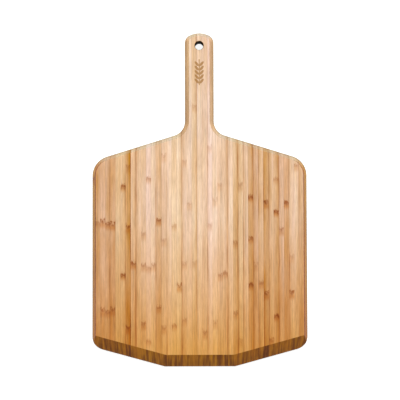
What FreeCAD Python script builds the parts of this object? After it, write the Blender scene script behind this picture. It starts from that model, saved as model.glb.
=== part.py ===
import FreeCAD, Part
import Sketcher
import math
import os

from FreeCAD import Vector

# Pizza peel: a board of upright bamboo strips, routed to a square blade with a short handle. Millimetres.
#
# The board lies flat with its underside on Z = 0. X runs across the strips and Y along them, towards the
# handle. The origin is under the middle of the board's bounding box. The outline, its edges and the hanging
# hole are made once, on the glued board, and each strip is the share of that board which it fills.

DRIVING_SIZES = {
    "overall_length": 475.0,  # from the front edge to the tip of the handle
    "board_thick": 12.0,
    "blade_width": 304.8,  # takes a 12 inch pizza
    "shoulder_drop": 41.0,  # how far the shoulder falls from the handle to the side
    "shoulder_round": 28.5,
    "front_flat": 100.0,  # the straight middle of the front edge
    "front_drop": 28.0,  # how far the front edge runs back towards each side
    "front_round": 20.0,
    "front_edge": 3.5,  # thickness left at the front
    "bevel_run": 18.8,  # width of the front bevel, square to its edge
    "handle_width": 41.0,
    "handle_length": 142.0,  # from the top of the shoulder to the tip
    "handle_blend": 21.4,
    "tip_arc": 31.0,
    "tip_round": 12.0,
    "top_chamfer": 5.8,
    "underside_round": 1.0,
    "hole_width": 12.0,
    "hole_inset": 19.5,  # from the tip to the hole's centre
    "hole_rim": 0.8,
    "strip_width": 7.2,
    "cutter_margin": 20.0,  # how far the cutting shapes reach past the board
}

# Places along Y and slopes that several features share, as expressions of the sheet's cells
TIP_Y = "(Sizes.overall_length / 2)"
FRONT_Y = "(-Sizes.overall_length / 2)"
HANDLE_ROOT_Y = f"({TIP_Y} - Sizes.handle_length)"
SHOULDER_Y = f"({HANDLE_ROOT_Y} - Sizes.shoulder_drop)"
CORNER_Y = f"({FRONT_Y} + Sizes.front_drop)"
CUTTER_X = "(Sizes.blade_width / 2 + Sizes.cutter_margin)"
CUTTER_Y = f"({FRONT_Y} - Sizes.cutter_margin)"
TIP_CORNER_Y = f"({TIP_Y} - Sizes.tip_arc + sqrt(Sizes.tip_arc ^ 2 - (Sizes.handle_width / 2) ^ 2))"
FRONT_SLOPE = "(2 * Sizes.front_drop / (Sizes.blade_width - Sizes.front_flat))"
BEVEL_SLOPE = "(Sizes.bevel_run / (Sizes.board_thick - Sizes.front_edge))"  # run for each unit of rise

START, END, CENTRE = 1, 2, 3  # how a sketch constraint names the points of a line or an arc
ORIGIN, Y_AXIS = -1, -2  # how it names the sketch's own origin and vertical axis
TOUCH = 0.001  # two places closer than this are the same
VOLUME_SHARE = 0.0001  # how far the strips together may differ from the board


def make_sheet(doc):
    sheet = doc.addObject("Spreadsheet::Sheet", "Sizes")
    for row, (alias, value) in enumerate(DRIVING_SIZES.items(), start=1):
        sheet.set(f"A{row}", alias)
        sheet.set(f"B{row}", str(value))
        sheet.setAlias(f"B{row}", alias)
    doc.recompute()
    return sheet


def rough_value(sheet, expression):
    """What an expression gives now, for the rough positions that constraints then fix."""
    return float(sheet.evalExpression(expression))


def new_sketch(body, name, height="0"):
    """An empty sketch parallel to the body's XY plane, at a height given by an expression."""
    sketch = body.newObject("Sketcher::SketchObject", name)
    plane = next(feature for feature in body.Origin.OriginFeatures if feature.Role == "XY_Plane")
    sketch.AttachmentSupport = (plane, [""])
    sketch.MapMode = "FlatFace"
    sketch.setExpression("AttachmentOffset.Base.z", height)
    return sketch


def bind(sketch, expression, *constraint):
    """Adds a constraint whose value follows an expression."""
    index = sketch.addConstraint(Sketcher.Constraint(*constraint))
    sketch.setExpression(f"Constraints[{index}]", expression)


def join(sketch, *constraint):
    sketch.addConstraint(Sketcher.Constraint("Coincident", *constraint))


def mirrored_chain(sketch, sheet, corners):
    """Lines through the +X corners and their mirror images, open between the two last corners.

    Each corner is an (X, Y) pair of expressions, from the front backwards. The first line starts at the last
    corner's mirror image. Returns the number of the last line, which ends at the last corner.
    """
    right = [Vector(rough_value(sheet, x), rough_value(sheet, y), 0) for x, y in corners]
    path = [Vector(-point.x, point.y, 0) for point in reversed(right)] + right
    for start, end in zip(path, path[1:]):
        sketch.addGeometry(Part.LineSegment(start, end))
    last = len(path) - 2
    for line in range(last):
        join(sketch, line, END, line + 1, START)
    front = len(corners) - 1
    for step, (x, y) in enumerate(corners):
        bind(sketch, x, "DistanceX", ORIGIN, START, front + step, END, right[step].x)
        bind(sketch, y, "DistanceY", ORIGIN, START, front + step, END, right[step].y)
        mirror = Sketcher.Constraint("Symmetric", front - step, START, front + step, END, Y_AXIS)
        sketch.addConstraint(mirror)
    return last


def outline_sketch(body, sheet):
    """The board's outline with sharp corners, closed at the tip by a shallow arc."""
    sketch = new_sketch(body, "Outline")
    corners = [
        ("Sizes.front_flat / 2", FRONT_Y),
        ("Sizes.blade_width / 2", CORNER_Y),
        ("Sizes.blade_width / 2", SHOULDER_Y),
        ("Sizes.handle_width / 2", HANDLE_ROOT_Y),
        ("Sizes.handle_width / 2", TIP_CORNER_Y),
    ]
    last = mirrored_chain(sketch, sheet, corners)
    radius = rough_value(sheet, "Sizes.tip_arc")
    centre = Vector(0, rough_value(sheet, f"{TIP_Y} - Sizes.tip_arc"), 0)
    spread = math.asin(rough_value(sheet, "Sizes.handle_width / 2") / radius)
    circle = Part.Circle(centre, Vector(0, 0, 1), radius)
    tip = sketch.addGeometry(Part.ArcOfCircle(circle, math.pi / 2 - spread, math.pi / 2 + spread))
    join(sketch, last, END, tip, START)
    join(sketch, tip, END, 0, START)
    bind(sketch, "Sizes.tip_arc", "Radius", tip, radius)
    return sketch


def bevel_section(body, sheet, name, height):
    """The ground that the front bevel clears at one height.

    Its edge moves back as the height grows, by the same distance square to the front edge's flat and to both
    of its slants.
    """
    sketch = new_sketch(body, name, height)
    inset = f"(({height} - Sizes.front_edge) * {BEVEL_SLOPE})"
    slant = f"atan({FRONT_SLOPE})"
    mitre_x = f"(Sizes.front_flat / 2 - {inset} * tan({slant} / 2))"
    edge_y = f"({FRONT_Y} + {inset})"
    far_y = f"({edge_y} + ({CUTTER_X} - {mitre_x}) * {FRONT_SLOPE})"
    corners = [(mitre_x, edge_y), (CUTTER_X, far_y), (CUTTER_X, CUTTER_Y)]
    last = mirrored_chain(sketch, sheet, corners)
    closing = Part.LineSegment(sketch.Geometry[last].EndPoint, sketch.Geometry[0].StartPoint)
    line = sketch.addGeometry(closing)
    join(sketch, last, END, line, START)
    join(sketch, line, END, 0, START)
    return sketch


def upright_edges(shape):
    """The shape's vertical edges, as {edge name: its place (x, y)}."""
    found = {}
    for number, edge in enumerate(shape.Edges, start=1):
        ends = [vertex.Point for vertex in edge.Vertexes]
        if len(ends) == 2 and math.hypot(ends[0].x - ends[1].x, ends[0].y - ends[1].y) < TOUCH:
            found[f"Edge{number}"] = (ends[0].x, ends[0].y)
    return found


def rim_edges(shape, z):
    """Names of the edges that lie wholly at one height."""
    names = []
    for number, edge in enumerate(shape.Edges, start=1):
        box = edge.BoundBox
        if abs(box.ZMin - z) < TOUCH and abs(box.ZMax - z) < TOUCH:
            names.append(f"Edge{number}")
    return names


def hole_rims(shape):
    """Names of the edges that are whole circles, which only the hanging hole has."""
    return [f"Edge{number}" for number, edge in enumerate(shape.Edges, start=1) if edge.isClosed()]


def dress(body, kind, name, base, edges, **sizes):
    """A fillet or chamfer on edges of the feature before it, with its sizes bound to the sheet."""
    feature = body.newObject(f"PartDesign::{kind}", name)
    feature.Base = (base, edges)
    for size, expression in sizes.items():
        feature.setExpression(size, expression)
    body.Document.recompute()
    return feature


def round_corner(body, sheet, name, base, x, y, radius):
    """Rounds the pair of vertical edges that stand at one mirrored corner of the outline."""
    spot = (rough_value(sheet, x), rough_value(sheet, y))
    uprights = upright_edges(base.Shape)
    pair = [edge for edge, (ex, ey) in uprights.items() if math.dist((abs(ex), ey), spot) < TOUCH]
    return dress(body, "Fillet", name, base, pair, Radius=radius)


def make_board(doc, sheet):
    """The glued and finished board, in the order a workshop makes it."""
    body = doc.addObject("PartDesign::Body", "Board")
    outline = outline_sketch(body, sheet)
    blank = body.newObject("PartDesign::Pad", "Blank")
    blank.Profile = outline
    blank.setExpression("Length", "Sizes.board_thick")
    doc.recompute()

    half_blade, half_handle = "Sizes.blade_width / 2", "Sizes.handle_width / 2"
    corners = [
        ("FrontCorners", half_blade, CORNER_Y, "Sizes.front_round"),
        ("Shoulders", half_blade, SHOULDER_Y, "Sizes.shoulder_round"),
        ("HandleBlend", half_handle, HANDLE_ROOT_Y, "Sizes.handle_blend"),
        ("TipCorners", half_handle, TIP_CORNER_Y, "Sizes.tip_round"),
    ]
    feature = blank
    for name, x, y, radius in corners:
        feature = round_corner(body, sheet, name, feature, x, y, radius)
    rim = rim_edges(feature.Shape, sheet.board_thick)
    feature = dress(body, "Chamfer", "TopChamfer", feature, rim, Size="Sizes.top_chamfer")
    rim = rim_edges(feature.Shape, 0)
    dress(body, "Fillet", "Underside", feature, rim, Radius="Sizes.underside_round")

    bevel = body.newObject("PartDesign::SubtractiveLoft", "FrontBevel")
    bevel.Profile = bevel_section(body, sheet, "BevelLow", "0")
    bevel.Sections = [bevel_section(body, sheet, "BevelHigh", "2 * Sizes.board_thick")]
    bevel.Ruled = True
    doc.recompute()

    circle = new_sketch(body, "HoleCircle")
    centre = rough_value(sheet, f"{TIP_Y} - Sizes.hole_inset")
    radius = rough_value(sheet, "Sizes.hole_width / 2")
    circle.addGeometry(Part.Circle(Vector(0, centre, 0), Vector(0, 0, 1), radius))
    circle.addConstraint(Sketcher.Constraint("PointOnObject", 0, CENTRE, Y_AXIS))
    bind(circle, f"{TIP_Y} - Sizes.hole_inset", "DistanceY", ORIGIN, START, 0, CENTRE, centre)
    bind(circle, "Sizes.hole_width / 2", "Radius", 0, radius)
    hole = body.newObject("PartDesign::Pocket", "HangingHole")
    hole.Profile = circle
    hole.Type = "ThroughAll"
    hole.Reversed = True
    doc.recompute()
    dress(body, "Chamfer", "HoleRims", hole, hole_rims(hole.Shape), Size="Sizes.hole_rim")
    return body


def make_strips(doc, sheet, board):
    """The board shared out to its strips, from -X to +X. The router left only part of the outermost pair."""
    each_side = round(sheet.blade_width / sheet.strip_width / 2 - 0.5)
    strips = []
    for place in range(-each_side, each_side + 1):
        number = place + each_side + 1
        share = doc.addObject("Part::Box", f"Share{number:02d}")
        outer = abs(place) == each_side
        spare = " + Sizes.cutter_margin" if outer else ""
        share.setExpression("Length", "Sizes.strip_width" + spare)
        share.setExpression("Width", "Sizes.overall_length + 2 * Sizes.cutter_margin")
        share.setExpression("Height", "Sizes.board_thick + 2 * Sizes.cutter_margin")
        setback = " - Sizes.cutter_margin" if place == -each_side else ""
        share.setExpression("Placement.Base.x", f"{place - 0.5} * Sizes.strip_width" + setback)
        share.setExpression("Placement.Base.y", CUTTER_Y)
        share.setExpression("Placement.Base.z", "-Sizes.cutter_margin")
        strip = doc.addObject("Part::Common", f"Strip{number:02d}")
        strip.Base = board
        strip.Tool = share
        strip.Label = f"strip_{number:02d}"
        strips.append(strip)
    doc.recompute()
    return strips


def check(doc, parts, board):
    for item in doc.Objects:
        if {"Invalid", "Error"} & set(item.State):
            raise RuntimeError(f"{item.Label} failed: {item.State}")
    for part in parts:
        if part.Shape.isNull() or not part.Shape.isValid():
            raise RuntimeError(f"{part.Label} has no valid shape")
    whole = board.Shape.Volume
    shared = sum(part.Shape.Volume for part in parts)
    if abs(shared - whole) > VOLUME_SHARE * whole:
        raise RuntimeError(f"the strips hold {shared:.1f} mm3 and the board {whole:.1f} mm3")
    box = board.Shape.optimalBoundingBox()
    size = f"{box.XLength:.2f} x {box.YLength:.2f} x {box.ZLength:.2f} mm"
    print(f"{len(parts)} strips, {whole:.0f} mm3, {size}")


def write_steps(parts):
    os.makedirs("parts", exist_ok=True)
    for part in parts:
        part.Shape.exportStep(f"parts/{part.Label}.step")


doc = FreeCAD.newDocument("PizzaPeel")
sizes = make_sheet(doc)
board = make_board(doc, sizes)
strips = make_strips(doc, sizes, board)
check(doc, strips, board)
write_steps(strips)
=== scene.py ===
import bpy
import math
import numpy as np
from mathutils import Euler, Matrix, Vector


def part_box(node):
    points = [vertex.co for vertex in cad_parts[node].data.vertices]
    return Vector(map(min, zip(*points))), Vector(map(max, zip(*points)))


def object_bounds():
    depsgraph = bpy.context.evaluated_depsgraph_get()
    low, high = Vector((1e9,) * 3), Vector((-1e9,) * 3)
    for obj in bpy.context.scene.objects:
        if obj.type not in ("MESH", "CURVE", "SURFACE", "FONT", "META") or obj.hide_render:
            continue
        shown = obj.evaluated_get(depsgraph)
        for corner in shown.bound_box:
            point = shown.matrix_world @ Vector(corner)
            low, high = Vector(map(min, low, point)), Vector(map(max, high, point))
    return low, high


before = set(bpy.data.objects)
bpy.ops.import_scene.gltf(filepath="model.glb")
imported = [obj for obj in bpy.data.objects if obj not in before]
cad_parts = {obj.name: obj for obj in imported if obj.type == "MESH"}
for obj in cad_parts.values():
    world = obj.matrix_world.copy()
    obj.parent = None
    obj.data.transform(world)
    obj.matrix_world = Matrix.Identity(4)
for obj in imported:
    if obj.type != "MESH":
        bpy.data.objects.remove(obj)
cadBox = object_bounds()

mm = 0.001
mixColour = {"give": 2, "data_type": "RGBA"}
multiplyColour = {"give": 2, "data_type": "RGBA", "blend_type": "MULTIPLY"}
smoothRamp = {"interpolation_type": "SMOOTHSTEP"}


def hexColour(code, alpha=1.0):
    # sRGB hex to linear: below 0.04045 divide by 12.92, above it the 2.4 power of the shifted value
    shades = [int(code[i:i + 2], 16) / 255 for i in (1, 3, 5)]
    return (*[c / 12.92 if c <= 0.04045 else ((c + 0.055) / 1.055) ** 2.4 for c in shades], alpha)


def addNode(tree, kind, inputs=None, give=0, **settings):
    # one shader node with its settings, and its sockets either linked or set; returns the chosen output
    node = tree.nodes.new("ShaderNode" + kind)
    for name, value in settings.items():
        setattr(node, name, value)
    for socket, value in (inputs or {}).items():
        if isinstance(value, bpy.types.NodeSocket):
            tree.links.new(value, node.inputs[socket])
        else:
            node.inputs[socket].default_value = value
    return node.outputs[give] if node.outputs else node


def newMaterial(name):
    material = bpy.data.materials.new(name)
    material.use_nodes = True
    material.node_tree.nodes.clear()
    return material, material.node_tree


# The strips stand on edge, so each shows straight fibres, a dense dark side where the culm's skin was, and a
# brown V wherever a joint of the culm crossed it. Strips count from -X to +X.
strips = {
    "width": 7.2 * mm,
    # how pale each strip is, 0 dark amber to 10 straw: the strips' own tone with painted sheen set in too,
    # the middle strips paler and the outer ones darker
    "palenessAndSheen": [4, 3, 5, 4, 3, 6, 6, 1, 5, 6, 7, 9, 9, 5, 7, 9, 9, 9, 8, 9, 7, 9, 8, 10, 10, 8, 7, 9, 5, 7,
                 7, 3, 4, 5, 2, 5, 3, 5, 3, 7, 7, 4, 4],
    # which side was nearer the skin: -1 towards -X, 1 towards +X, 0 where that layer was planed off
    "skinSide": [0, -1, 0, 1, 0, 0, 1, 1, 1, -1, 0, 0, 1, 0, 0, -1, 0, 1, -1, 0, 1, 0, 0, -1, 0, 0, 1, -1,
                 1, -1, -1, 1, -1, -1, -1, -1, 1, -1, 0, -1, 1, 0, 0],
    # culms differ: the rest lie between these two
    "pinkStrips": [2, 3, 4, 5, 12, 24, 33, 38, 39],
    "yellowStrips": [6, 7, 17, 18, 21, 29, 30],
    # where culm joints cross: strip number, (place along Y in mm, how dark), three at most
    "joints": {
        1: [(29, 0.7)],
        2: [(-33, 0.4)],
        3: [(-32, 0.8), (-157, 0.6)],
        4: [(-35, 0.8), (-159, 0.6)],
        5: [(-36, 0.9), (-156, 0.7)],
        7: [(19, 0.8), (-106, 0.9)],
        8: [(-40, 0.8), (-182, 0.8), (45, 0.4)],
        9: [(-91, 0.9)],
        11: [(-50, 0.4), (-94, 0.5), (-176, 0.6)],
        12: [(30, 0.5), (-199, 0.4), (-96, 0.4)],
        13: [(-94, 0.5)],
        14: [(-30, 0.9), (-153, 0.6)],
        15: [(60, 0.35), (-59, 0.4), (-182, 0.5)],
        17: [(-37, 0.35), (-177, 0.5)],
        18: [(-123, 0.8)],
        19: [(53, 0.3), (-92, 0.35), (-171, 0.35)],
        20: [(-8, 0.35)],
        21: [(-90, 0.3), (131, 0.35)],
        23: [(-189, 0.5)],
        24: [(-37, 0.3), (73, 0.3)],
        25: [(-3, 0.3), (-175, 0.35)],
        26: [(19, 0.3), (-108, 0.5)],
        27: [(-104, 0.5)],
        29: [(-62, 0.5), (-161, 0.5)],
        30: [(19, 0.4), (-200, 0.3)],
        32: [(4, 0.9), (-55, 0.7), (-120, 0.8)],
        33: [(-94, 0.3)],
        34: [(-119, 0.6)],
        35: [(-6, 0.9), (-134, 0.8)],
        36: [(-199, 0.6)],
        37: [(-17, 1.0), (29, 0.4), (-164, 0.8)],
        38: [(-44, 0.6)],
        39: [(-6, 0.9)],
        40: [(-133, 0.8), (-83, 0.3)],
        41: [(47, 0.5)],
    },
    # how far a joint's V rises from its middle to the strip's edges, taken in turn
    "jointRises": [3.0 * mm, 1.5 * mm, -2.0 * mm, 3.5 * mm, 1.0 * mm],
}

grain = {
    "straw": "#e1c5b6",
    "amber": "#b98544",
    "skinFall": -0.3,  # from straw towards amber, from a strip's middle to its skin
    "cloudWidth": 9 * mm,
    "cloudLength": 70 * mm,
    "cloudDepth": 0.7,
    "pinkTint": "#fffaf2",
    "yellowTint": "#fffce0",
    "blushWidth": 6 * mm,
    "blushLength": 90 * mm,
    "blushDepth": 1.2,
    "streakWidth": 1.2 * mm,
    "streaks": [(300 * mm, 0.5), (50 * mm, 0.42), (13 * mm, 0.56)],  # how long, how strong
    "fibreWidth": 0.55 * mm,  # real fibres are 0.2 mm, too fine to show
    "fibreLength": 28 * mm,
    "fibreStrength": 0.22,
    "layerDepth": 0.1,  # a strip's layers lie one behind the other, so patterns change slowly with depth
    "swayWidth": 1.2 * mm,
    "swayLength": 110 * mm,
    "swayAcross": 25 * mm,
    "roughness": 0.6,  # how strongly each finer layer of noise shows
}

seams = {
    "tint": "#dfd3c7",
    "from": 0.42,  # of the width, from the strip's middle; the edge is at 0.5
    "skinTint": "#dbc3aa",
    "skinFrom": 0.2,
    "skinTo": 0.48,
    "patchWidth": 20 * mm,
    "patchLength": 60 * mm,
    "faintest": 0.1,
    "faintBelow": 0.35,  # faintest where the slow noise is below this, full where it is above the next
    "fullAbove": 0.65,
}

joints = {
    "lineHalf": 4.96 * mm,
    "frayWidth": 1.8 * mm,
    "frayLength": 4 * mm,
    "fray": 2.1 * mm,
    "frayLow": 0.3,  # noise this low moves the line fully down, noise as high as the next fully up
    "frayHigh": 0.7,
    "dashFaint": 0.3,
    "dashStrong": 1.1,
    "dashFrom": 0.34,
    "dashTo": 0.56,
    "patchBelow": 4.0 * mm,
    "patchHalf": 7.5 * mm,
    "brown": "#b47c34",
    "patchTint": "#e8caa2",
    "relief": 0.8,
}

finish = {
    "sheenFallTint": "#f0cf8a",  # painted sheen fall-off: the front half turned golden, standing in for the lamp's sheen that pales the handle end
    "sheenFallFrom": -25 * mm,
    "sheenFallTo": -210 * mm,
    "gripLightTint": "#f6f8fb",  # painted light: the handle all over, cooled and evened a little to balance how the lamps' light and sheen fall on that end
    "gripFrom": 60 * mm,
    "gripTo": 100 * mm,
    "turnFrom": 0.25,  # how much of the normal points sideways or back where a cut's tint starts
    "turnTo": 0.65,
    "sideTint": "#dec874",  # cuts along the fibres
    "handleTint": "#dccaa6",  # the same on the handle
    "endTint": "#cad2d0",  # cuts across them, on the handle's side
    "arrisShadeTint": "#cecdb4",  # painted shade: the chamfers' lower corner, darkened and dulled where the edge turns from the light
    "arrisShadeFrom": 8.5 * mm,
    "arrisShadeTo": 6.3 * mm,
    "cutFrom": 0.95,  # how upright the normal is where a level face ends and a cut begins
    "cutTo": 0.85,
    "cornerTint": "#cc963c",  # the blade's chamfers, darker at their upper corner by the top face
    "cornerFrom": 9.4 * mm,
    "cornerTo": 11.2 * mm,
    # painted shade: the hole's wall near black, standing in for the shadow inside the hole
    "holeShadeColour": "#140c07",
    "holeShadeRadius": 6.4 * mm,
    "holeShadeSoft": 0.3 * mm,
    "holeInset": 19.5 * mm,  # from the tip
}

frontBevel = {
    "from": -0.2,  # how far the normal leans to the front where the bevel's colour starts
    "to": -0.35,
    "tint": "#e4c83f",  # thin wood that took the most oil
    "brown": "#be7c18",
    "brownShare": 0.3,
    "dark": "#ac963c",
    "darkWidth": 4.5 * mm,
    "darkLength": 60 * mm,
    "darkFrom": 0.42,
    "darkTo": 0.62,
    "endFrom": 0.8,  # how square to the fibres a cut is where end grain starts to show
    "endTo": 0.95,
    "endGrainTint": "#b08660",
    "bundleSpacing": 0.9 * mm,  # real fibre bundles are 0.5 mm apart, too fine to show
    "bundleLength": 12.5 * mm,
    "bundleScatter": 0.9,
    "bundleCore": 0.2,  # of the spacing: full tint inside this, and the faintest beyond the next
    "bundleRim": 0.6,
    "betweenBundles": 0.5,
}

burntMark = {
    "middle": 180 * mm,  # along Y
    "halfLength": 18.5 * mm,
    "grains": 5,
    "grainLong": 3.4 * mm,
    "grainWide": 0.4,  # half a grain's width, as a share of the spacing
    "grainReach": 0.9,  # half a grain's length, as a share of grainLong
    "slope": 0.8,
    "stemHalf": 0.7 * mm,
    "edge": (0.8, 1.2),  # where a grain's edge starts and ends, 1 being the ellipse itself
    "stemEdge": (0.7, 1.3),
    "inward": 1 * mm,  # only wood this near the top is burnt
    "colour": "#9a6a28",
    "depth": 0.82,
    "reach": 8 * mm,
}

oiled = {
    "fibreLow": 0.3,  # fibre noise this low is rough, noise as high as the next is smooth
    "fibreHigh": 0.7,
    "ior": 1.45,
    "rough": 0.48,
    "smooth": 0.4,
    "coat": 0.12,
    "coatRough": 0.4,
    "bump": 0.35,
    "bumpHeight": 0.08 * mm,
}


def describeStrips():
    # each strip's own values, which the one material reads from its object
    count = len(strips["palenessAndSheen"])
    for number in range(1, count + 1):
        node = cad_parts[f"strip_{number:02d}"]
        crossings = strips["joints"].get(number, [])
        spare = 3 - len(crossings)
        node["middle"] = (number - (count + 1) / 2) * strips["width"]
        node["palenessAndSheen"] = strips["palenessAndSheen"][number - 1] / 10
        node["skinSide"] = float(strips["skinSide"][number - 1])
        node["pink"] = 0.5 + 0.5 * (number in strips["pinkStrips"]) - 0.5 * (number in strips["yellowStrips"])
        node["seed"] = (number * 0.618034) % 1 * 10  # golden steps, so neighbours differ
        node["jointRise"] = strips["jointRises"][number % len(strips["jointRises"])]
        node["jointPlaces"] = [place * mm for place, _ in crossings] + [9.0] * spare  # 9 m is nowhere on it
        node["jointDepths"] = [depth for _, depth in crossings] + [0.0] * spare


def stripPlaces(tree):
    # where a point is: in metres, across its strip from -0.5 to 0.5, and in the strip's own wandering grain,
    # which is the place plus the strip's seed, pushed along X by a slow wave of Y
    gives = {"middle": "Fac", "palenessAndSheen": "Fac", "skinSide": "Fac", "pink": "Fac", "seed": "Fac",
             "jointRise": "Fac", "jointPlaces": "Vector", "jointDepths": "Vector"}
    places = {}
    for name, give in gives.items():
        places[name] = addNode(tree, "Attribute", give=give, attribute_type="OBJECT", attribute_name=name)
    spot = addNode(tree, "TexCoord", give="Object")
    x, y, z = addNode(tree, "SeparateXYZ", {0: spot}).node.outputs
    offset = addNode(tree, "Math", {0: x, 1: places["middle"]}, operation="SUBTRACT")
    across = addNode(tree, "Math", {0: offset, 1: strips["width"]}, operation="DIVIDE")
    aside = addNode(tree, "Math", {0: across}, operation="ABSOLUTE")
    toSkin = addNode(tree, "Math", {0: across, 1: places["skinSide"]}, operation="MULTIPLY")
    shift = addNode(tree, "CombineXYZ", {0: places["seed"], 1: places["seed"], 2: places["seed"]})
    own = addNode(tree, "VectorMath", {0: spot, 1: shift}, operation="ADD")
    swayCells = (1 / grain["swayAcross"], 1 / grain["swayLength"], 1 / grain["swayAcross"])
    slow = addNode(tree, "Mapping", {0: own, "Scale": swayCells})
    wave = addNode(tree, "TexNoise", {"Vector": slow, "Scale": 1.0, "Detail": 1.0})
    push = addNode(tree, "MapRange", {0: wave, 3: -grain["swayWidth"], 4: grain["swayWidth"]})
    push = addNode(tree, "CombineXYZ", {0: push})
    bent = addNode(tree, "VectorMath", {0: own, 1: push}, operation="ADD")
    places.update(x=x, y=y, z=z, aside=aside, toSkin=toSkin, own=own, bent=bent)
    return places


def alongFibres(tree, places, width, length, detail=2.0):
    # noise stretched along Y: a cell is as wide and long as asked, and as deep as its width over layerDepth
    cells = addNode(tree, "Mapping", {0: places["bent"],
                                      "Scale": (1 / width, 1 / length, grain["layerDepth"] / width)})
    return addNode(tree, "TexNoise", {"Vector": cells, "Scale": 1.0, "Detail": detail,
                                      "Roughness": grain["roughness"]})


def faceColour(tree, places):
    # amber to straw by the strip's paleness, which also holds painted sheen, plus broad clouds, less a fall
    # towards the skin; then a pink or yellow tint; then shaded by 1 plus the fibres and three lengths of
    # streak, each about its mean
    clouds = alongFibres(tree, places, grain["cloudWidth"], grain["cloudLength"], 1.0)
    tone = addNode(tree, "Math", {0: clouds, 1: 0.5}, operation="SUBTRACT")
    tone = addNode(tree, "Math", {0: tone, 1: grain["cloudDepth"], 2: places["palenessAndSheen"]},
                   operation="MULTIPLY_ADD")
    tone = addNode(tree, "Math", {0: places["toSkin"], 1: grain["skinFall"], 2: tone},
                   operation="MULTIPLY_ADD")
    wood = addNode(tree, "Mix", {"Factor": tone, 6: hexColour(grain["amber"]), 7: hexColour(grain["straw"])},
                   clamp_factor=False, **mixColour)
    blush = alongFibres(tree, places, grain["blushWidth"], grain["blushLength"], 1.0)
    blush = addNode(tree, "Math", {0: blush, 1: 0.5}, operation="SUBTRACT")
    blush = addNode(tree, "Math", {0: blush, 1: grain["blushDepth"], 2: places["pink"]},
                    operation="MULTIPLY_ADD")
    tint = addNode(tree, "Mix", {"Factor": blush, 6: hexColour(grain["yellowTint"]),
                                 7: hexColour(grain["pinkTint"])}, **mixColour)
    wood = addNode(tree, "Mix", {"Factor": 1.0, 6: wood, 7: tint}, **multiplyColour)
    fibres = alongFibres(tree, places, grain["fibreWidth"], grain["fibreLength"])
    shade = addNode(tree, "Math", {0: fibres, 1: 0.5}, operation="SUBTRACT")
    shade = addNode(tree, "Math", {0: shade, 1: grain["fibreStrength"], 2: 1.0}, operation="MULTIPLY_ADD")
    for length, strength in grain["streaks"]:
        streak = alongFibres(tree, places, grain["streakWidth"], length)
        streak = addNode(tree, "Math", {0: streak, 1: 0.5}, operation="SUBTRACT")
        shade = addNode(tree, "Math", {0: streak, 1: strength, 2: shade}, operation="MULTIPLY_ADD")
    wood = addNode(tree, "VectorMath", {0: wood, "Scale": shade}, operation="SCALE")
    return wood, fibres


def seamed(tree, places, wood):
    # darker where the distance from the strip's middle nears a half, and towards the skin on that side; slow
    # noise along the strip makes both come and go
    comes = alongFibres(tree, places, seams["patchWidth"], seams["patchLength"], 1.0)
    comes = addNode(tree, "MapRange", {0: comes, 1: seams["faintBelow"], 2: seams["fullAbove"],
                                       3: seams["faintest"]})
    seam = addNode(tree, "MapRange", {0: places["aside"], 1: seams["from"], 2: 0.5}, **smoothRamp)
    seam = addNode(tree, "Math", {0: seam, 1: comes}, operation="MULTIPLY")
    wood = addNode(tree, "Mix", {"Factor": seam, 6: wood, 7: hexColour(seams["tint"])}, **multiplyColour)
    skin = addNode(tree, "MapRange", {0: places["toSkin"], 1: seams["skinFrom"], 2: seams["skinTo"]},
                   **smoothRamp)
    skin = addNode(tree, "Math", {0: skin, 1: comes}, operation="MULTIPLY")
    return addNode(tree, "Mix", {"Factor": skin, 6: wood, 7: hexColour(seams["skinTint"])}, **multiplyColour)


def jointed(tree, places, wood):
    # A V about each crossing: the distance from a line that rises with the distance from the strip's middle,
    # frayed by noise and broken into dashes. Below it a soft patch fades both ways.
    frayed = alongFibres(tree, places, joints["frayWidth"], joints["frayLength"])
    fray = addNode(tree, "MapRange", {0: frayed, 1: joints["frayLow"], 2: joints["frayHigh"],
                                      3: -joints["fray"], 4: joints["fray"]})
    rise = addNode(tree, "Math", {0: places["jointRise"], 1: 2.0}, operation="MULTIPLY")
    line = addNode(tree, "Math", {0: places["aside"], 1: rise, 2: fray}, operation="MULTIPLY_ADD")
    level = addNode(tree, "Math", {0: places["y"], 1: line}, operation="SUBTRACT")
    low = addNode(tree, "Math", {0: places["y"], 1: joints["patchBelow"]}, operation="ADD")
    spots = addNode(tree, "SeparateXYZ", {0: places["jointPlaces"]}).node.outputs
    depths = addNode(tree, "SeparateXYZ", {0: places["jointDepths"]}).node.outputs
    lines, patches = 0.0, 0.0
    for spot, depth in zip(spots, depths):
        away = addNode(tree, "Math", {0: level, 1: spot}, operation="SUBTRACT")
        away = addNode(tree, "Math", {0: away}, operation="ABSOLUTE")
        band = addNode(tree, "MapRange", {0: away, 2: joints["lineHalf"], 3: 1.0, 4: 0.0}, **smoothRamp)
        lines = addNode(tree, "Math", {0: band, 1: depth, 2: lines}, operation="MULTIPLY_ADD")
        away = addNode(tree, "Math", {0: low, 1: spot}, operation="SUBTRACT")
        away = addNode(tree, "Math", {0: away}, operation="ABSOLUTE")
        patch = addNode(tree, "MapRange", {0: away, 2: joints["patchHalf"], 3: 1.0, 4: 0.0}, **smoothRamp)
        patches = addNode(tree, "Math", {0: patch, 1: depth, 2: patches}, operation="MULTIPLY_ADD")
    dashes = addNode(tree, "MapRange", {0: frayed, 1: joints["dashFrom"], 2: joints["dashTo"],
                                        3: joints["dashFaint"], 4: joints["dashStrong"]})
    lines = addNode(tree, "Math", {0: lines, 1: dashes}, operation="MULTIPLY")
    wood = addNode(tree, "Mix", {"Factor": patches, 6: wood, 7: hexColour(joints["patchTint"])},
                   **multiplyColour)
    wood = addNode(tree, "Mix", {"Factor": lines, 6: wood, 7: hexColour(joints["brown"])}, **multiplyColour)
    return wood, lines


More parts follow.
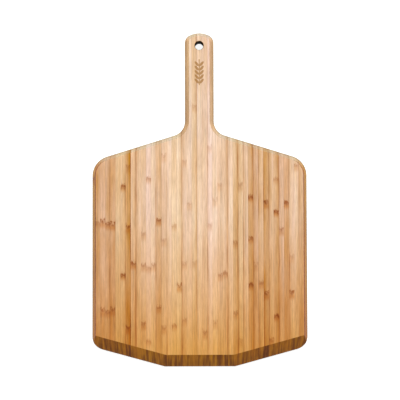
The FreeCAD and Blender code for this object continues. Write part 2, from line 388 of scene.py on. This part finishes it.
def burntIn(tree, places, wood):
    # An ear of wheat: pairs of slanting grains that repeat along a thin stem. Each grain is one ellipse in
    # folded and repeated coordinates: the distance from the stem, and Y less the slope times that distance,
    # modulo the spacing.
    spacing = 2 * burntMark["halfLength"] / (burntMark["grains"] + 1)
    fold = addNode(tree, "Math", {0: places["x"]}, operation="ABSOLUTE")
    along = addNode(tree, "Math", {0: places["y"], 1: burntMark["middle"] - burntMark["halfLength"]},
                    operation="SUBTRACT")
    lean = addNode(tree, "Math", {0: fold, 1: -burntMark["slope"], 2: along}, operation="MULTIPLY_ADD")
    turn = addNode(tree, "Math", {0: lean, 1: spacing}, operation="FLOORED_MODULO")
    up = addNode(tree, "Math", {0: turn, 1: spacing / 2}, operation="SUBTRACT")
    up = addNode(tree, "Math", {0: up, 1: spacing * burntMark["grainWide"]}, operation="DIVIDE")
    out = addNode(tree, "Math", {0: fold, 1: burntMark["grainLong"]}, operation="SUBTRACT")
    out = addNode(tree, "Math", {0: out, 1: burntMark["grainLong"] * burntMark["grainReach"]},
                  operation="DIVIDE")
    square = addNode(tree, "Math", {0: up, 1: up}, operation="MULTIPLY")
    square = addNode(tree, "Math", {0: out, 1: out, 2: square}, operation="MULTIPLY_ADD")
    ear = addNode(tree, "MapRange", {0: square, 1: burntMark["edge"][0], 2: burntMark["edge"][1],
                                     3: 1.0, 4: 0.0})
    count = addNode(tree, "Math", {0: lean, 1: spacing}, operation="DIVIDE")
    fromMiddle = addNode(tree, "Math", {0: count, 1: burntMark["grains"] / 2}, operation="SUBTRACT")
    fromMiddle = addNode(tree, "Math", {0: fromMiddle}, operation="ABSOLUTE")
    within = addNode(tree, "Math", {0: fromMiddle, 1: burntMark["grains"] / 2}, operation="LESS_THAN")
    ear = addNode(tree, "Math", {0: ear, 1: within}, operation="MULTIPLY")
    fromMiddle = addNode(tree, "Math", {0: places["y"], 1: burntMark["middle"]}, operation="SUBTRACT")
    fromMiddle = addNode(tree, "Math", {0: fromMiddle}, operation="ABSOLUTE")
    within = addNode(tree, "Math", {0: fromMiddle, 1: burntMark["halfLength"]}, operation="LESS_THAN")
    inner, outer = [burntMark["stemHalf"] * share for share in burntMark["stemEdge"]]
    stem = addNode(tree, "MapRange", {0: fold, 1: inner, 2: outer, 3: 1.0, 4: 0.0})
    stem = addNode(tree, "Math", {0: stem, 1: within}, operation="MULTIPLY")
    mark = addNode(tree, "Math", {0: ear, 1: stem}, operation="MAXIMUM")
    top = addNode(tree, "Math", {0: places["z"], 1: cadBox[1][2] - burntMark["inward"]},
                  operation="GREATER_THAN")
    mark = addNode(tree, "Math", {0: mark, 1: top}, operation="MULTIPLY")
    mark = addNode(tree, "Math", {0: mark, 1: burntMark["depth"]}, operation="MULTIPLY")
    return addNode(tree, "Mix", {"Factor": mark, 6: wood, 7: hexColour(burntMark["colour"])}, **mixColour)


def finished(tree, places, wood):
    # tints that come in by ramps of the place or of the way the surface faces: golden towards the front as
    # painted sheen fall-off, cooled on the handle as painted light, deep on cuts along the fibres, pale on
    # cuts across them, darker along the blade chamfers' upper corners, and dulled along their lower corners
    # as painted shade
    # painted sheen fall-off: golden towards the front stands in for the lamp's sheen paling the handle end
    sheenFall = addNode(tree, "MapRange", {0: places["y"], 1: finish["sheenFallFrom"], 2: finish["sheenFallTo"]})
    wood = addNode(tree, "Mix", {"Factor": sheenFall, 6: wood, 7: hexColour(finish["sheenFallTint"])},
                   **multiplyColour)
    # painted light: the handle is cooled and evened a little against how the lamps light that end
    grip = addNode(tree, "MapRange", {0: places["y"], 1: finish["gripFrom"], 2: finish["gripTo"]})
    wood = addNode(tree, "Mix", {"Factor": grip, 6: wood, 7: hexColour(finish["gripLightTint"])}, **multiplyColour)

    sideways = addNode(tree, "Math", {0: places["faceX"]}, operation="ABSOLUTE")
    sides = addNode(tree, "MapRange", {0: sideways, 1: finish["turnFrom"], 2: finish["turnTo"]})
    tint = addNode(tree, "Mix", {"Factor": grip, 6: hexColour(finish["sideTint"]),
                                 7: hexColour(finish["handleTint"])}, **mixColour)
    wood = addNode(tree, "Mix", {"Factor": sides, 6: wood, 7: tint}, **multiplyColour)
    # darker along the blade chamfers' upper corner, by the top face
    corner = addNode(tree, "MapRange", {0: places["z"], 1: finish["cornerFrom"], 2: finish["cornerTo"]})
    corner = addNode(tree, "Math", {0: corner, 1: sides}, operation="MULTIPLY")
    notGrip = addNode(tree, "Math", {0: 1.0, 1: grip}, operation="SUBTRACT")
    corner = addNode(tree, "Math", {0: corner, 1: notGrip}, operation="MULTIPLY")
    wood = addNode(tree, "Mix", {"Factor": corner, 6: wood, 7: hexColour(finish["cornerTint"])},
                   **multiplyColour)
    backs = addNode(tree, "MapRange", {0: places["faceY"], 1: finish["turnFrom"], 2: finish["turnTo"]})
    wood = addNode(tree, "Mix", {"Factor": backs, 6: wood, 7: hexColour(finish["endTint"])}, **multiplyColour)

    # painted shade: the chamfers' lower corner and the walls below it darkened and dulled where the edge
    # turns from the light
    arrisShade = addNode(tree, "MapRange", {0: places["z"], 1: finish["arrisShadeFrom"], 2: finish["arrisShadeTo"]})
    upright = addNode(tree, "Math", {0: places["faceZ"]}, operation="ABSOLUTE")
    cut = addNode(tree, "MapRange", {0: upright, 1: finish["cutFrom"], 2: finish["cutTo"]})
    arrisShade = addNode(tree, "Math", {0: arrisShade, 1: cut}, operation="MULTIPLY")
    return addNode(tree, "Mix", {"Factor": arrisShade, 6: wood, 7: hexColour(finish["arrisShadeTint"])},
                   **multiplyColour)


def bevelled(tree, places, wood):
    # the front bevel is soaked a deep brown in long patches; square ends show dots, which are the distance to
    # the nearest of the fibre bundles' scattered centres
    bevel = addNode(tree, "MapRange", {0: places["faceY"], 1: frontBevel["from"], 2: frontBevel["to"]})
    soaked = addNode(tree, "Mix", {"Factor": 1.0, 6: wood, 7: hexColour(frontBevel["tint"])},
                     **multiplyColour)
    soaked = addNode(tree, "Mix", {"Factor": frontBevel["brownShare"], 6: soaked,
                                   7: hexColour(frontBevel["brown"])}, **mixColour)
    oil = alongFibres(tree, places, frontBevel["darkWidth"], frontBevel["darkLength"], 3.0)
    oil = addNode(tree, "MapRange", {0: oil, 1: frontBevel["darkFrom"], 2: frontBevel["darkTo"]})
    soaked = addNode(tree, "Mix", {"Factor": oil, 6: soaked, 7: hexColour(frontBevel["dark"])},
                     **multiplyColour)
    wood = addNode(tree, "Mix", {"Factor": bevel, 6: wood, 7: soaked}, **mixColour)

    square = addNode(tree, "Math", {0: places["faceY"]}, operation="ABSOLUTE")
    ends = addNode(tree, "MapRange", {0: square, 1: frontBevel["endFrom"], 2: frontBevel["endTo"]})
    spacing, length = frontBevel["bundleSpacing"], frontBevel["bundleLength"]
    bundles = addNode(tree, "Mapping", {0: places["own"], "Scale": (1 / spacing, 1 / length, 1 / spacing)})
    dots = addNode(tree, "TexVoronoi", {"Vector": bundles, "Scale": 1.0,
                                        "Randomness": frontBevel["bundleScatter"]}, give="Distance")
    dots = addNode(tree, "MapRange", {0: dots, 1: frontBevel["bundleCore"], 2: frontBevel["bundleRim"],
                                      3: 1.0, 4: frontBevel["betweenBundles"]})
    ends = addNode(tree, "Math", {0: ends, 1: dots}, operation="MULTIPLY")
    return addNode(tree, "Mix", {"Factor": ends, 6: wood, 7: hexColour(frontBevel["endGrainTint"])},
                   **multiplyColour)


def holeShaded(tree, places, wood):
    # painted shade: black within the hole's radius of its axis, standing in for the shadow inside the hole
    holeY = cadBox[1][1] - finish["holeInset"]
    fromHole = addNode(tree, "Math", {0: places["y"], 1: holeY}, operation="SUBTRACT")
    radial = addNode(tree, "CombineXYZ", {0: places["x"], 1: fromHole})
    radius = addNode(tree, "VectorMath", {0: radial}, operation="LENGTH", give="Value")
    holeShade = addNode(tree, "MapRange", {0: radius, 1: finish["holeShadeRadius"],
                                       2: finish["holeShadeRadius"] - finish["holeShadeSoft"]})
    wood = addNode(tree, "Mix", {"Factor": holeShade, 6: wood, 7: hexColour(finish["holeShadeColour"])}, **mixColour)
    return wood, holeShade


def bambooMaterial(name, marked):
    # pressed bamboo, planed, sanded and oiled: straight streaked fibres under a satin coat
    material, tree = newMaterial(name)
    places = stripPlaces(tree)
    facing = addNode(tree, "NewGeometry", give="True Normal")
    faceX, faceY, faceZ = addNode(tree, "SeparateXYZ", {0: facing}).node.outputs
    places.update(faceX=faceX, faceY=faceY, faceZ=faceZ)
    wood, fibres = faceColour(tree, places)
    wood = seamed(tree, places, wood)
    wood, jointLines = jointed(tree, places, wood)
    if marked:
        wood = burntIn(tree, places, wood)
    wood = finished(tree, places, wood)
    wood = bevelled(tree, places, wood)
    # painted shade in the hole, which also takes the coat off there and roughens it
    wood, holeShade = holeShaded(tree, places, wood)
    roughness = addNode(tree, "MapRange", {0: fibres, 1: oiled["fibreLow"], 2: oiled["fibreHigh"],
                                           3: oiled["rough"], 4: oiled["smooth"]})
    roughness = addNode(tree, "Math", {0: roughness, 1: holeShade}, operation="MAXIMUM")
    coat = addNode(tree, "MapRange", {0: holeShade, 3: oiled["coat"], 4: 0.0})
    relief = addNode(tree, "Math", {0: jointLines, 1: joints["relief"], 2: fibres}, operation="MULTIPLY_ADD")
    bump = addNode(tree, "Bump", {"Height": relief, "Strength": oiled["bump"],
                                  "Distance": oiled["bumpHeight"]})
    shader = addNode(tree, "BsdfPrincipled", {"Base Color": wood, "Roughness": roughness, "Normal": bump,
                                              "IOR": oiled["ior"], "Coat Weight": coat,
                                              "Coat Roughness": oiled["coatRough"]})
    addNode(tree, "OutputMaterial", {"Surface": shader})
    return material


def dressStrips():
    plain = bambooMaterial("oiledBamboo", marked=False)
    marked = bambooMaterial("oiledBambooBurntMark", marked=True)
    for name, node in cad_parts.items():
        low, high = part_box(name)
        hasMark = low[0] < burntMark["reach"] and high[0] > -burntMark["reach"]
        node.data.materials.clear()
        node.data.materials.append(marked if hasMark else plain)


# An opal light table under soft studio light: the board lies on it, and its glow lifts the board's shadow.
studio = {
    "floorHalf": 6.0,
    "floorCells": 12,
    "floorDrop": 0.2 * mm,
    "floorColours": ("#9a9a98", "#a4a4a2"),
    "floorGlow": (0.92, 0.94),
    "floorRough": 0.9,
    "mottleScale": 3.0,  # patches in a metre
    "skyStrength": 0.12,
    "horizonStrength": 1.0,
    "horizonFrom": 0.04,
    "horizonTo": 0.26,
    "keyFrom": (0.2, 3.2, 3.3),
    "keySize": 2.0,
    "keyPower": 337,
    "keySheen": 0.3,  # the share of the key that a surface mirrors, as if through a polariser
}


def makeFloor():
    # a level sheet: height 0 for every (u, v) of a square grid, dropped a little
    half, cells = studio["floorHalf"], studio["floorCells"]
    u, v = np.meshgrid(np.linspace(-half, half, cells + 1), np.linspace(-half, half, cells + 1))
    points = np.stack([u, v, np.full_like(u, -studio["floorDrop"])], axis=-1).reshape(-1, 3)
    corner = np.arange(cells)[:, None] * (cells + 1) + np.arange(cells)[None, :]
    faces = np.stack([corner, corner + 1, corner + cells + 2, corner + cells + 1], axis=-1).reshape(-1, 4)
    mesh = bpy.data.meshes.new("floor")
    mesh.from_pydata(points.tolist(), [], faces.tolist())
    floor = bpy.data.objects.new("floor", mesh)
    bpy.context.scene.collection.objects.link(floor)
    material, tree = newMaterial("opalAcrylicLit")
    # opal acrylic lit from behind: white and nearly even, with a faint mottle
    spot = addNode(tree, "TexCoord", give="Object")
    mottle = addNode(tree, "TexNoise", {"Vector": spot, "Scale": studio["mottleScale"], "Detail": 2.0})
    dim, pale = studio["floorColours"]
    opal = addNode(tree, "Mix", {"Factor": mottle, 6: hexColour(dim), 7: hexColour(pale)}, **mixColour)
    glow = addNode(tree, "MapRange", {0: mottle, 3: studio["floorGlow"][0], 4: studio["floorGlow"][1]})
    shader = addNode(tree, "BsdfPrincipled", {"Base Color": opal, "Roughness": studio["floorRough"],
                                              "Emission Strength": glow,
                                              "Emission Color": hexColour("#ffffff")})
    addNode(tree, "OutputMaterial", {"Surface": shader})
    mesh.materials.append(material)


def addAreaLight(name, place, size, power, mirrored=True):
    light = bpy.data.lights.new(name, "AREA")
    light.shape, light.size, light.energy = "DISK", size, power
    lamp = bpy.data.objects.new(name, light)
    lamp.location = place
    lamp.rotation_euler = Vector(place).to_track_quat("Z", "Y").to_euler()
    lamp.visible_glossy = mirrored
    bpy.context.scene.collection.objects.link(lamp)


def makeStudio():
    # white at the horizon, falling off towards a dim ceiling: strength depends on the direction's height
    world = bpy.data.worlds.new("studio")
    world.use_nodes = True
    world.node_tree.nodes.clear()
    tree = world.node_tree
    way = addNode(tree, "TexCoord", give="Generated")
    height = addNode(tree, "SeparateXYZ", {0: way}, give=2)
    glow = addNode(tree, "MapRange", {0: height, 1: studio["horizonFrom"], 2: studio["horizonTo"],
                                      3: studio["horizonStrength"], 4: studio["skyStrength"]}, **smoothRamp)
    sky = addNode(tree, "Background", {"Color": hexColour("#ffffff"), "Strength": glow})
    addNode(tree, "OutputWorld", {"Surface": sky})
    bpy.context.scene.world = world
    sheen = studio["keyPower"] * studio["keySheen"]
    addAreaLight("key", studio["keyFrom"], studio["keySize"], sheen)
    addAreaLight("keySoft", studio["keyFrom"], studio["keySize"], studio["keyPower"] - sheen, mirrored=False)


cameraSet = {
    "distance": 0.70,
    "lens": 44.25,
    "sensor": 36.0,
    "clips": (0.01, 50),
    "tilt": 1.0,  # degrees, from straight down towards the front edge
    "roll": -0.17,
    "aim": (0.6 * mm, -1.2 * mm, 6 * mm),
}


def makeCamera():
    # looks straight down, tilted and rolled by a degree or less about the point it is aimed at
    data = bpy.data.cameras.new("camera")
    data.lens, data.sensor_width = cameraSet["lens"], cameraSet["sensor"]
    data.clip_start, data.clip_end = cameraSet["clips"]
    camera = bpy.data.objects.new("camera", data)
    turn = Euler((math.radians(cameraSet["tilt"]), 0, math.radians(cameraSet["roll"])), "XYZ")
    back = Matrix.Translation((0, 0, cameraSet["distance"]))
    camera.matrix_world = Matrix.Translation(cameraSet["aim"]) @ turn.to_matrix().to_4x4() @ back
    bpy.context.scene.collection.objects.link(camera)
    bpy.context.scene.camera = camera
    bpy.context.scene.view_settings.view_transform = "Standard"


describeStrips()
dressStrips()
print("strips dressed")
makeFloor()
makeStudio()
print("studio set")
makeCamera()
print("camera set")
